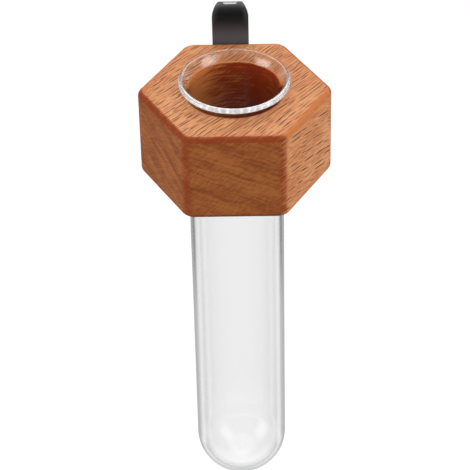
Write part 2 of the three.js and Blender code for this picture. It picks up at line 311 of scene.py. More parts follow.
class Wiring:
    """Short calls that add nodes to one tree and join them up."""

    def __init__(self, tree):
        self.tree = tree

    def feed(self, socket, value):
        """Links a flow or a list of flows to the socket, or sets the socket's own value."""
        if isinstance(value, list):
            for flow in value:
                self.feed(socket, flow)
        elif isinstance(value, Flow):
            self.tree.links.new(value.socket, socket)
        elif socket.type == "RGBA":
            socket.default_value = (*value, 1.0)
        else:
            socket.default_value = value

    def node(self, kind, inputs=None, **options):
        """Adds a node of that kind, with its options set and its inputs fed by name or place."""
        node = self.tree.nodes.new(kind)
        for name, value in options.items():
            setattr(node, name, value)
        for name, value in (inputs or {}).items():
            self.feed(node.inputs[name], value)
        return Outlets(self, node)

    def math(self, operation, *values):
        """A math node's result. A vector or a colour among the values makes it vector math."""
        flows = [value for value in values if isinstance(value, Flow)]
        on_vectors = any(flow.socket.type in ("VECTOR", "RGBA") for flow in flows)
        kind = "ShaderNodeVectorMath" if on_vectors else "ShaderNodeMath"
        return self.node(kind, dict(enumerate(values)), operation=operation)[0]

    def larger(self, first, second):
        return self.math("MAXIMUM", first, second)

    def dot(self, first, second):
        return self.node("ShaderNodeVectorMath", {0: first, 1: second}, operation="DOT_PRODUCT")["Value"]

    def length(self, vector):
        return self.node("ShaderNodeVectorMath", {0: vector}, operation="LENGTH")["Value"]

    def combine(self, x, y, z):
        return self.node("ShaderNodeCombineXYZ", {0: x, 1: y, 2: z})[0]

    def separate(self, vector):
        return self.node("ShaderNodeSeparateXYZ", {0: vector})

    def measured(self, point, *axes):
        """The point as measured along three axes."""
        return self.combine(*(self.dot(point, axis) for axis in axes))

    def ramp(self, value, low, high, to_low=0.0, to_high=1.0):
        """A smooth step of the value, from to_low at low to to_high at high."""
        inputs = {"Value": value, "From Min": low, "From Max": high, "To Min": to_low, "To Max": to_high}
        return self.node("ShaderNodeMapRange", inputs, interpolation_type="SMOOTHSTEP")["Result"]

    def mix(self, share, first, second):
        """A colour that goes from the first to the second."""
        node = self.node("ShaderNodeMix", data_type="RGBA").node
        sockets = {socket.identifier: socket for socket in (*node.inputs, *node.outputs)}
        self.feed(sockets["Factor_Float"], share)
        self.feed(sockets["A_Color"], first)
        self.feed(sockets["B_Color"], second)
        return Flow(self, sockets["Result_Color"])

    def noise(self, vector, scale=1.0, detail=2.0, roughness=0.5):
        inputs = {"Vector": vector, "Scale": scale, "Detail": detail, "Roughness": roughness}
        return self.node("ShaderNodeTexNoise", inputs)[0]

    def bump(self, height, strength, distance):
        return self.node("ShaderNodeBump", {"Strength": strength, "Distance": distance, "Height": height})[0]

    def surface(self, inputs):
        """Adds a Principled shader with its inputs fed, as the surface of the material."""
        shader = self.node("ShaderNodeBsdfPrincipled", inputs)
        self.node("ShaderNodeOutputMaterial", {"Surface": shader[0]})


def fresh_wiring(owner):
    """The wiring of a material's, a lamp's or a world's own tree, emptied."""
    owner.use_nodes = True
    owner.node_tree.nodes.clear()
    return Wiring(owner.node_tree)


def new_finish(name):
    """A material with an empty node tree, and its wiring."""
    material = bpy.data.materials.new(name)
    return material, fresh_wiring(material)


def new_tree(kind, name, inputs, outputs):
    """A node group, its wiring and what it is given. An input is (name, kind), with or without a default."""
    tree = bpy.data.node_groups.new(name, kind)
    sockets = [("INPUT", *entry) for entry in inputs] + [("OUTPUT", *entry) for entry in outputs]
    for way, socket_name, socket_kind, *default in sockets:
        socket = tree.interface.new_socket(socket_name, in_out=way, socket_type="NodeSocket" + socket_kind)
        if default:
            socket.default_value = default[0]
    wire = Wiring(tree)
    return tree, wire, wire.node("NodeGroupInput")


def place_group(wire, build, **inputs):
    """Places a shared group in a tree with its own values. Its function builds it at its first use."""
    group = bpy.data.node_groups.get(build.__name__) or build(build.__name__)
    named = {name.replace("_", " ").title(): value for name, value in inputs.items()}
    return wire.node(group.bl_idname.replace("Tree", "Group"), named, node_tree=group)


def object_point(wire):
    """The point on the piece, in the part's own frame."""
    return wire.node("ShaderNodeTexCoord")["Object"]


def grain_marks(name):
    """Pointed marks along the grain, each with its own size and darkness, and the wood next to them.
    Grain, Spacing and Half Size are (along the fibres, across the marks, through the marks' sheets)."""
    tree, wire, given = new_tree(
        "ShaderNodeTree", name,
        [("Grain", "Vector"), ("Spacing", "Vector"), ("Half Size", "Vector")],
        [("Mask", "Float"), ("Border", "Float")])
    scaled = given["Grain"] / given["Spacing"]
    cells = wire.node("ShaderNodeTexVoronoi", {"Vector": scaled, "Scale": 1.0, "Randomness": 0.75})
    chance = wire.node("ShaderNodeSeparateColor", {0: cells["Color"]})
    aside = (scaled - cells["Position"]) * given["Spacing"]
    size = wire.ramp(chance["Red"], 0.0, 1.0, 0.55, 1.25)
    place = wire.separate(aside / given["Half Size"] / wire.combine(size, 1.0, 1.0))
    reach = place["X"] * place["X"] + place["Z"] * place["Z"] + abs(place["Y"])
    darkness = wire.ramp(chance["Green"], 0.0, 0.7, 0.75, 1.0)
    wire.node("NodeGroupOutput", {"Mask": wire.ramp(reach, 0.7, 1.0, 1.0, 0.0) * darkness,
                                  "Border": wire.ramp(reach, 1.0, 3.4, 1.0, 0.0) * darkness})
    return tree


def edge_wear(name):
    """How far a rounded edge is rubbed, broken up by noise."""
    tree, wire, given = new_tree(
        "ShaderNodeTree", name,
        [("Scale", "Float", 400.0), ("Patchiness", "Float", 0.5)],
        [("Mask", "Float")])
    edge = wire.node("ShaderNodeAttribute", attribute_name=EDGE_ATTRIBUTE)["Fac"]
    patches = wire.noise(object_point(wire), given["Scale"], detail=3.0)
    wire.node("NodeGroupOutput", {"Mask": edge * (1.0 - patches * given["Patchiness"])})
    return tree


def fine_relief(name):
    """Fine unevenness of a coat or a drawn surface, as a value and as a height."""
    tree, wire, given = new_tree(
        "ShaderNodeTree", name,
        [("Scale", "Float", 1500.0), ("Stretch", "Vector", (1.0, 1.0, 1.0))],
        [("Value", "Float"), ("Height", "Float")])
    stretched = object_point(wire) * given["Stretch"]
    broad = wire.noise(stretched, given["Scale"] * 0.12, detail=3.0)
    fine = wire.noise(stretched, given["Scale"], roughness=0.6)
    wire.node("NodeGroupOutput", {"Value": broad * 0.7 + fine * 0.3, "Height": fine})
    return tree


# Finishes


def grain_axes(block):
    """Directions along the fibres, across the ray marks and through their sheets, from the way that the
    marks run on the top and on the right-hand side."""
    on_top = Vector((math.cos(block.top_mark_heading), math.sin(block.top_mark_heading), 0.0))
    level = math.cos(block.side_mark_dip)
    side_heading = math.pi / 3
    on_side = Vector((level * math.cos(side_heading), level * math.sin(side_heading),
                      -math.sin(block.side_mark_dip)))
    across = on_top.cross(on_side).normalized()
    along = (on_top + on_side).normalized()
    return along, across, along.cross(across)


def wander(wire, point, scale, reach):
    """The point, moved a little by slow noise, so that what follows it isn't quite straight."""
    noise = wire.node("ShaderNodeTexNoise", {"Vector": point, "Scale": scale, "Detail": 1.0})
    return noise["Color"] * (reach, reach, reach) + point


def scatter(wire, grain, sizes):
    """Marks of one kind along the grain, from their spacing and half size in millimetres."""
    spacing, half_size = [MM * Vector(size) for size in sizes]
    return place_group(wire, grain_marks, grain=grain, spacing=spacing, half_size=half_size)


def wood_finish(block):
    """Oiled hardwood: short dark ray marks along the fibres, and darker banded end grain across them."""
    material, wire = new_finish("oiled_wood")
    along, across, through = grain_axes(block)
    band = Vector(block.band_normal).normalized()
    band_side = band.cross(along).normalized()
    band_run = band.cross(band_side)

    # The point as the fibres, the growth bands and the weave between them run
    place = wire.node("ShaderNodeTexCoord")
    bent = wander(wire, place["Object"], 60.0, 0.8 * MM)
    wavy = wander(wire, bent, 240.0, 1.2 * MM)
    grain = wire.measured(bent, along, across, through)
    layers = wire.measured(wavy, band, band_side, band_run)
    crossing = wire.measured(bent, band_run, (0.7, 0.0, -0.7), (0.7, 0.0, 0.7))

    # Marks, streaks and bands
    needles, ticks, hairs = [scatter(wire, grain, sizes) for sizes in (NEEDLES, TICKS, HAIRS)]
    level = wire.ramp(wire.separate(place["Normal"])["Z"], 0.3, 0.7)
    marks, borders = [needles[kind] * level + ticks[kind] * (1.0 - level) for kind in ("Mask", "Border")]
    streaks = wire.noise(grain * (110.0, 2200.0, 300.0), detail=3.0, roughness=0.6)
    fine_bands = wire.noise(layers * (1500.0, 110.0, 110.0))
    broad_bands = wire.noise(layers * (430.0, 60.0, 60.0), detail=3.0)
    bands = fine_bands * 0.5 + broad_bands * 0.5
    blotches = wire.noise(place["Object"], 70.0, detail=3.0)
    weave = wire.noise(crossing * (300.0, 2400.0, 500.0))

    # Long grain, and end grain where a face cuts across the fibres
    slope = wire.dot(place["Normal"], along)
    facing = abs(slope)
    ragged = streaks - 0.5
    end_grain = wire.ramp(ragged * 0.7 + facing, 0.3, 0.62)
    tone = streaks * 0.65 + blotches * 0.35
    long_colour = wire.mix(wire.ramp(tone, 0.36, 0.68), block.face_colour, block.light_colour)
    long_colour = wire.mix(borders * 0.7, long_colour, block.light_colour)
    long_colour = wire.mix(hairs["Mask"] * 0.4, long_colour, block.mark_colour)
    long_colour = wire.mix(marks, long_colour, block.mark_colour)
    end_tone = (weave - 0.5) * 0.5 + bands
    end_colour = wire.mix(wire.ramp(end_tone, 0.32, 0.68), block.end_colour, block.band_colour)
    colour = wire.mix(end_grain, long_colour, end_colour)

    # Sanded edges
    rubbed = place_group(wire, edge_wear, scale=300.0, patchiness=0.3)["Mask"]
    warm = wire.ramp(ragged * 1.4 + rubbed, 0.2, 0.9, 0.0, 0.85)
    edge_colour = wire.mix(wire.ramp(facing, 0.1, 0.35), block.long_edge_colour, block.edge_colour)
    colour = wire.mix(warm, colour, edge_colour)

    # Bore, with the drill's lifted and flattened fibres, and painted light and shade: walls that face the
    # fibres' way, such as the left, take the light tone, and the others, such as the back and right, mostly
    # the dark one
    bore = block.bore_diameter / 2
    from_axis = (place["Object"] - BLOCK_TOP_CENTRE) * (1.0, 1.0, 0.0)
    radius = wire.length(from_axis)
    bored = wire.ramp(radius, bore + 0.2 * MM, bore + 0.6 * MM, 0.95, 0.0)
    rings = wire.noise(place["Object"] * (150.0, 150.0, 1700.0), detail=3.0)
    lie = (rings - 0.5) * 1.6 + slope
    laid_and_lit = wire.ramp(ragged * 1.1 + lie, -0.98, 0.05)
    colour = wire.mix(bored, colour, wire.mix(laid_and_lit, block.lifted_colour, block.laid_colour))

    # Painted shade at the front of the bore's upper edge, under the lip, and along the lower edge of the
    # block
    frontward = wire.separate(from_axis)["Y"] / radius
    height = wire.separate(place["Object"])["Z"]
    at_bore = wire.ramp(radius, bore + 0.2 * MM, bore + 0.65 * MM, 0.9, 0.0)
    at_front = wire.ramp(frontward, -0.6, -0.2, 1.0, 0.0)
    at_top = wire.ramp(height, BLOCK_HIGH.z - 6 * MM, BLOCK_HIGH.z - 2 * MM)
    at_foot = wire.ramp(height, BLOCK_LOW.z, BLOCK_LOW.z + block.edge_radius, 0.7, 0.0)
    for painted_shade in (at_bore * at_front * at_top, at_foot):
        colour = wire.mix(painted_shade, colour, block.stain_colour)

    grooves = streaks * 0.35 - marks * (1.0 - end_grain)
    relief = grooves + bands * end_grain * 0.5
    wire.surface({"Base Color": colour,
                  "Roughness": wire.ramp(streaks, 0.2, 0.8, 0.5, 0.62) + end_grain * 0.08,
                  "Normal": wire.bump(relief, 0.5, 0.06 * MM),
                  "Specular IOR Level": 0.2})
    return material


def glass_finish(tube):
    """Clear drawn glass with faint draw lines and a lip that melting has left less even."""
    material, wire = new_finish("clear_glass")
    draw = place_group(wire, fine_relief, scale=900.0, stretch=(1.0, 1.0, 0.04))
    drawn = wire.ramp(draw["Value"], 0.35, 0.75, 0.0, 0.006)
    height = wire.separate(object_point(wire))["Z"]
    melted = wire.ramp(height, TUBE_HIGH.z - 1.1 * tube.edge_thickness,
                       TUBE_HIGH.z - 0.4 * tube.edge_thickness, 0.0, LIP_ROUGHNESS)
    wire.surface({"Base Color": WHITE,
                  "Roughness": drawn + melted,
                  "Normal": wire.bump(draw["Height"], 0.004, 0.02 * MM),
                  "Transmission Weight": 1.0,
                  "IOR": tube.ior})
    return material


def coated_steel_finish(clip):
    """Satin black coat on spring steel, worn along its edges, lightened just above the block by a painted
    reflection, and rubbed off at the crest, where the bare patch is also a painted highlight."""
    material, wire = new_finish("satin_black_steel")
    place = wire.node("ShaderNodeTexCoord")
    spot = wire.separate(place["Object"])
    coat = place_group(wire, fine_relief, scale=2600.0)
    worn = place_group(wire, edge_wear, scale=700.0, patchiness=0.9)["Mask"]
    black = wire.mix(wire.ramp(coat["Value"], 0.3, 0.7), clip.coat_colour, toned(clip.coat_colour, 0.75))
    # Painted reflection: the strip is lightened just above the block's top, fading upwards, as if it
    # mirrored the wood
    painted_reflection = (wire.ramp(spot["Z"], BLOCK_HIGH.z, BLOCK_HIGH.z + 8 * MM, 0.78, 0.0)
            * wire.ramp(spot["Z"], BLOCK_HIGH.z - 4 * MM, BLOCK_HIGH.z, 0.25, 1.0))
    dulled_and_lit = wire.mix(wire.larger(painted_reflection, worn * 0.5), black, clip.worn_colour)
    # Painted highlight: where the crest faces up, near its middle, the coat turns to bare metallic steel to
    # stand in for the hook's highlight; the scattered scuffs are real wear
    crest_way = (0.0, math.sin(CREST_LEAN), math.cos(CREST_LEAN))
    upward = wire.ramp(wire.dot(place["Normal"], crest_way), 0.9, 0.99)
    half_width = clip.crest_width / 2
    central = wire.ramp(abs(spot["X"]), 0.4 * half_width, half_width, 1.0, 0.0)
    scuffs = wire.noise(place["Object"] * (0.4, 1.0, 1.0), 1800.0, detail=3.0)
    bare_and_highlight = wire.ramp((scuffs - 0.5) * 0.8 + upward * central, 0.25, 0.75)
    wire.surface({"Base Color": wire.mix(bare_and_highlight, dulled_and_lit, clip.steel_colour),
                  "Metallic": bare_and_highlight,
                  "Roughness": wire.ramp(coat["Value"], 0.3, 0.7, 0.32, 0.42),
                  "Normal": wire.bump(coat["Height"], 0.08, 0.03 * MM),
                  "Specular IOR Level": 0.18})
    return material


def oxide_steel_finish(screws):
    """Black oxide on steel, rubbed to the metal along the recess."""
    material, wire = new_finish("black_oxide_steel")
    oxide = place_group(wire, fine_relief, scale=3200.0)
    worn = place_group(wire, edge_wear, scale=1500.0, patchiness=0.8)["Mask"]
    wire.surface({"Base Color": wire.mix(worn, screws.oxide_colour, screws.bare_colour),
                  "Metallic": wire.ramp(oxide["Value"], 0.2, 0.8, 0.75, 0.95),
                  "Roughness": wire.ramp(oxide["Value"], 0.3, 0.7, 0.28, 0.44),
                  "Normal": wire.bump(oxide["Height"], 0.15, 0.03 * MM)})
    return material


# Meshes


def skin(name, rings, shares, looped):
    """A closed mesh over a row of rings. Looped rows join their last ring to their first, and others are
    capped. Each vertex keeps its share of rounded edge."""
    form = bmesh.new()
    layer = form.verts.layers.float.new(EDGE_ATTRIBUTE)
    rows = []
    for ring, ring_shares in zip(rings, shares):
        row = [form.verts.new(point) for point in ring]
        for vertex, share in zip(row, ring_shares):
            vertex[layer] = share
        rows.append(row)
    pairs = list(zip(rows, rows[1:]))
    if looped:
        pairs.append((rows[-1], rows[0]))
    for row, above in pairs:
        for i in range(len(row)):
            j = (i + 1) % len(row)
            form.faces.new((row[i], row[j], above[j], above[i]))
    if not looped:
        form.faces.new(rows[0][::-1])
        form.faces.new(rows[-1])
    bmesh.ops.recalc_face_normals(form, faces=form.faces)
    if form.calc_volume(signed=True) < 0:
        bmesh.ops.reverse_faces(form, faces=form.faces)
    mesh = bpy.data.meshes.new(name)
    form.to_mesh(mesh)
    form.free()
    return mesh


def new_object(name, mesh):
    """An object in the scene, at the origin."""
    piece = bpy.data.objects.new(name, mesh)
    bpy.context.scene.collection.objects.link(piece)
    return piece


def settle(piece):
    """Bakes a piece's modifiers into a plain mesh and removes them."""
    depsgraph = bpy.context.evaluated_depsgraph_get()
    baked = bpy.data.meshes.new_from_object(piece.evaluated_get(depsgraph))
    piece.modifiers.clear()
    raw = piece.data
    piece.data = baked
    baked.name = piece.name
    bpy.data.meshes.remove(raw)


def drill(piece, places, diameter, near_y, far_y, segments=32):
    """Drills round holes along Y through a piece, at (x, z) places."""
    form = bmesh.new()
    for x, z in places:
        turn = Matrix.Translation((x, (near_y + far_y) / 2, z)) @ Matrix.Rotation(math.pi / 2, 4, "X")
        bmesh.ops.create_cone(form, cap_ends=True, segments=segments, radius1=diameter / 2,
                              radius2=diameter / 2, depth=far_y - near_y, matrix=turn)
    mesh = bpy.data.meshes.new("drill")
    form.to_mesh(mesh)
    form.free()
    cutter = new_object("drill", mesh)
    cut = piece.modifiers.new("drill", "BOOLEAN")
    cut.operation = "DIFFERENCE"
    cut.solver = "EXACT"
    cut.object = cutter
    settle(piece)
    bpy.data.objects.remove(cutter)
    bpy.data.meshes.remove(mesh)


def shade(piece, material, sharp_degrees=32):
    """Gives a piece its finish and smooth shading that breaks at sharp edges."""
    mesh = piece.data
    mesh.materials.clear()
    mesh.materials.append(material)
    mesh.polygons.foreach_set("use_smooth", [True] * len(mesh.polygons))
    mesh.set_sharp_from_angle(angle=math.radians(sharp_degrees))
    form = bmesh.new()
    form.from_mesh(mesh)
    is_open = any(not edge.is_manifold for edge in form.edges)
    volume = form.calc_volume(signed=True)
    form.free()
    if is_open or volume <= 0:
        raise RuntimeError(f"{piece.name} isn't a closed body with its faces pointing out")


def steps(count):
    """Even shares from 0 to 1, both ends included."""
    return [i / count for i in range(count + 1)]


def smooth_step(value, low, high):
    """0 below low, 1 above high, and eased between them."""
    share = min(max((value - low) / (high - low), 0.0), 1.0)
    return share * share * (3 - 2 * share)


def between(start, end, count):
    """Points that lie between two others on a straight run."""
    return [tuple(Vector(start).lerp(Vector(end), share)) for share in steps(count)[1:-1]]


def arc(centre, radius, start, end, count):
    """Points on an arc in a plane of (across, up), with angles in radians."""
    return [(centre[0] + radius * math.cos(start + (end - start) * share),
             centre[1] + radius * math.sin(start + (end - start) * share)) for share in steps(count)]


def rounded_hexagon(half_flats, corner_radius, corner_steps=12, flat_steps=10):
    """Outline of a hexagon with flats to the front and back, and each point's share of rounded corner."""
    half_corner = math.pi / 6
    arc_centre = (half_flats - corner_radius) / math.cos(half_corner)
    corners = []
    for corner in range(6):
        middle = corner * math.pi / 3
        centre = (arc_centre * math.cos(middle), arc_centre * math.sin(middle))
        corners.append(arc(centre, corner_radius, middle - half_corner, middle + half_corner, corner_steps))
    points = []
    for corner, following in zip(corners, corners[1:] + corners[:1]):
        points += corner + between(corner[-1], following[0], flat_steps)
    corner_shares = [CORNER_WEAR * math.sin(math.pi * share) for share in steps(corner_steps)]
    flat_shares = [0.0] * (flat_steps - 1)
    return points, len(corners) * (corner_shares + flat_shares)


def block_mesh(block):
    """The block as one looped skin: up the bore, over the top, down the sides and back under."""
    half_flats = (BLOCK_HIGH.y - BLOCK_LOW.y) / 2
    top, bottom = BLOCK_HIGH.z, BLOCK_LOW.z
    edge = block.edge_radius
    bore = block.bore_diameter / 2
    ease = block.bore_round
    rings, shares = [], []

    def add(outline, height, ring_shares):
        rings.append([(AXIS_X + x, AXIS_Y + y, height) for x, y in outline])
        shares.append(ring_shares)

    def side_outline(inset):
        return rounded_hexagon(half_flats - inset, block.corner_radius - inset)

    flat_outline, _ = side_outline(edge)
    angles = [math.atan2(y, x) for x, y in flat_outline]
    none = [0.0] * len(angles)

    def circle(radius):
        return [(radius * math.cos(angle), radius * math.sin(angle)) for angle in angles]

    def face(height, shares_across):
        rim = circle(bore + ease)
        for share in shares_across:
            outline = [tuple(Vector(a).lerp(Vector(b), share)) for a, b in zip(rim, flat_outline)]
            add(outline, height, [BAND_START * smooth_step(share, FACE_BORDER, 1.0)] * len(outline))

    def rounded_edge(height, way, shares_over):
        for share in shares_over:
            tilt = share * math.pi / 2
            outline, corners = side_outline(edge * (1 - math.sin(tilt)))
            band = BAND_START + (1 - BAND_START) * min(BAND_GROWTH * math.sin(math.pi * share), 1.0)
            add(outline, height + way * edge * (1 - math.cos(tilt)),
                [max(band, corner * share) for corner in corners])

    bore_steps, ease_steps, edge_steps = 10, 4, 8
    across_face = [0.03, 0.2, 0.4, 0.6, 0.74, 0.82, 0.88, 0.93, 0.97, 0.995]
    down_side = [0.01, 0.04, 0.08, 0.13, 0.3, 0.5, 0.7, 0.87, 0.92, 0.96, 0.99]
    for share in steps(bore_steps):
        add(circle(bore), bottom + ease + share * (top - bottom - 2 * ease), none)
    for radius, rise in arc((bore + ease, -ease), ease, math.pi, math.pi / 2, ease_steps)[1:]:
        add(circle(radius), top + rise, none)
    face(top, across_face)
    rounded_edge(top, -1, steps(edge_steps))
    outline, corners = side_outline(0.0)
    for share in down_side:
        near_edge = BAND_START * smooth_step(abs(share - 0.5), SIDE_BORDER, 0.5)
        add(outline, top - edge - share * (top - bottom - 2 * edge),
            [max(near_edge, corner) for corner in corners])
    rounded_edge(bottom, 1, steps(edge_steps)[::-1])
    face(bottom, across_face[::-1])
    for radius, rise in arc((bore + ease, ease), ease, -math.pi / 2, -math.pi, ease_steps)[:-1]:
        add(circle(radius), bottom + rise, none)
    return skin("wood_block", rings, shares, looped=True)


def flare_to_edge(radius, reach, edge_centre):
    """Centre of a flare's arc, at that radius and below the lip's edge, and its angle where it meets the
    edge."""
    aside = edge_centre[0] - radius
    rise = math.sqrt(reach ** 2 - aside ** 2)
    return (radius, edge_centre[1] - rise), math.atan2(rise, aside)


def tube_outline(tube):
    """Half section of the tube as (radius, height): outer bottom, flare, lip, mouth and inner bottom."""
    outer = tube.diameter / 2
    inner = outer - tube.wall
    lip = (TUBE_HIGH.x - TUBE_LOW.x) / 2
    edge = tube.edge_thickness / 2
    edge_centre = (lip - edge, TUBE_HIGH.z - edge)
    flare_radius, mouth_radius = tube.flare_radius, tube.mouth_radius
    flare_centre, flare_end = flare_to_edge(outer + flare_radius, flare_radius + edge, edge_centre)
    mouth_centre, mouth_start = flare_to_edge(inner + mouth_radius, mouth_radius - edge, edge_centre)
    bottom_centre = (0.0, TUBE_LOW.z + outer)

    ball_steps, wall_steps, flare_steps, lip_steps = 24, 12, 20, 24
    points = arc(bottom_centre, outer, -math.pi / 2, 0.0, ball_steps)
    flare = arc(flare_centre, flare_radius, math.pi, flare_end, flare_steps)
    points += between(points[-1], flare[0], wall_steps)
    points += flare
    points += arc(edge_centre, edge, flare_end - math.pi, mouth_start, lip_steps)[1:]
    points += arc(mouth_centre, mouth_radius, mouth_start, math.pi, flare_steps)[1:]
    inner_bottom = arc(bottom_centre, inner, 0.0, -math.pi / 2, ball_steps)
    points += between(points[-1], inner_bottom[0], wall_steps)
    points += inner_bottom
    points[0] = (0.0, points[0][1])
    points[-1] = (0.0, points[-1][1])
    return points


def head_seat():
    """Y of the back face of the clip's base leg, where the screw heads sit."""
    return CLIP_LOW.y + bpy.context.scene.vase_clip.thickness


def screw_outline(screws):
    """Half section of a screw as (radius, height), with the underside of its head at height 0."""
    head = (UPPER_SCREW_HIGH.x - UPPER_SCREW_LOW.x) / 2
    reach = head_seat() - UPPER_SCREW_LOW.y
    core = screws.shank_diameter / 2 - screws.thread_depth
    edge = screws.head_edge
    shoulder = screws.head_height / 2
    dome = screws.head_height - shoulder
    dome_radius = ((head - edge) ** 2 + dome ** 2) / (2 * dome)
    dome_centre = (0.0, screws.head_height - dome_radius)
    dome_start = math.pi / 2 - math.asin((head - edge) / dome_radius)
    tip, point_end, neck, rim = (0.0, -reach), (core, screws.point - reach), (core, 0.0), (head, 0.0)
    point_steps, shank_steps, seat_steps, rim_steps, dome_steps = 24, 90, 5, 6, 14
    points = [tip, *between(tip, point_end, point_steps)]
    points += [point_end, *between(point_end, neck, shank_steps)]
    points += [neck, *between(neck, rim, seat_steps)]
    points += [rim, (head, shoulder - edge)]
    points += arc((head - edge, shoulder - edge), edge, 0.0, dome_start, rim_steps)[1:]
    points += arc(dome_centre, dome_radius, dome_start, math.pi / 2, dome_steps)[1:]
    points[-1] = (0.0, points[-1][1])
    return points


def outline_object(name, points):
    """A helper object whose vertices are an outline's points, in order, as (radius, height, 0)."""
    mesh = bpy.data.meshes.new(name)
    mesh.from_pydata([(radius, height, 0.0) for radius, height in points], [], [])
    return new_object(name, mesh)


def turned_outline(name):
    """Geometry nodes that turn an outline of (radius, height) points round the upright axis."""
    tree, wire, given = new_tree(
        "GeometryNodeTree", name,
        [("Outline", "Geometry"), ("Segments", "Int", 48)],
        [("Mesh", "Geometry")])
    size = wire.node("GeometryNodeAttributeDomainSize", {"Geometry": given["Outline"]}, component="MESH")
    count = size["Point Count"]
    last = count - 1.0
    grid = wire.node("GeometryNodeMeshGrid", {"Size X": last, "Size Y": given["Segments"],
                                              "Vertices X": count, "Vertices Y": given["Segments"] + 1.0})
    position = wire.node("GeometryNodeInputPosition")[0]
    place = wire.separate(position)
    row = wire.math("ROUND", place["X"] + last * 0.5)
    turn = place["Y"] / given["Segments"] * (2 * math.pi)
    found = wire.node("GeometryNodeSampleIndex",
                      {"Geometry": given["Outline"], "Value": position, "Index": row},
                      data_type="FLOAT_VECTOR")
    sample = wire.separate(found[0])
    point = wire.combine(sample["X"] * wire.math("COSINE", turn), sample["X"] * wire.math("SINE", turn),
                         sample["Y"])
    turned = wire.node("GeometryNodeSetPosition", {"Geometry": grid["Mesh"], "Position": point})
    merged = wire.node("GeometryNodeMergeByDistance", {"Geometry": turned[0], "Distance": MERGE_DISTANCE})
    flipped = wire.node("GeometryNodeFlipFaces", {"Mesh": merged[0]})
    wire.node("NodeGroupOutput", {"Mesh": flipped[0]})
    return tree


def turn_outline(wire, given):
    """The body that a tree's outline object makes, turned round the upright axis."""
    outline = wire.node("GeometryNodeObjectInfo", {"Object": given["Outline"]})
    return place_group(wire, turned_outline, outline=outline["Geometry"], segments=given["Segments"])[0]


def end_tree(wire, geometry, finish):
    """Ends a geometry tree: its instances are made real and its finish is set."""
    realized = wire.node("GeometryNodeRealizeInstances", {"Geometry": geometry})
    finished = wire.node("GeometryNodeSetMaterial", {"Geometry": realized[0], "Material": finish})
    wire.node("NodeGroupOutput", {"Geometry": finished[0]})


def use_tree(piece, tree, inputs):
    """Runs a geometry node tree on a piece, with its inputs set by name, and keeps the plain mesh."""
    modifier = piece.modifiers.new(tree.name, "NODES")
    modifier.node_group = tree
    for item in tree.interface.items_tree:
        if item.in_out == "INPUT" and item.name in inputs:
            modifier[item.identifier] = inputs[item.name]
    settle(piece)


def turn_piece(name, points, tree, finish, inputs, sharp_degrees=32):
    """A piece that a geometry node tree makes from an outline's points and its other inputs."""
    piece = new_object(name, bpy.data.meshes.new(name))
    outline = outline_object("outline", points)
    use_tree(piece, tree, {"Outline": outline, "Finish": finish, **inputs})
    bpy.data.objects.remove(outline)
    shade(piece, finish, sharp_degrees)
    return piece


def tube_tree():
    """Geometry nodes of the glass tube: its outline, turned and set upright on the block's axis."""
    tree, wire, given = new_tree(
        "GeometryNodeTree", "turned_tube",
        [("Geometry", "Geometry"), ("Outline", "Object"), ("Segments", "Int", 144), ("Axis", "Vector"),
         ("Finish", "Material")],
        [("Geometry", "Geometry")])
    moved = wire.node("GeometryNodeTransform", {"Geometry": turn_outline(wire, given),
                                                "Translation": given["Axis"]})
    end_tree(wire, moved[0], given["Finish"])
    return tree


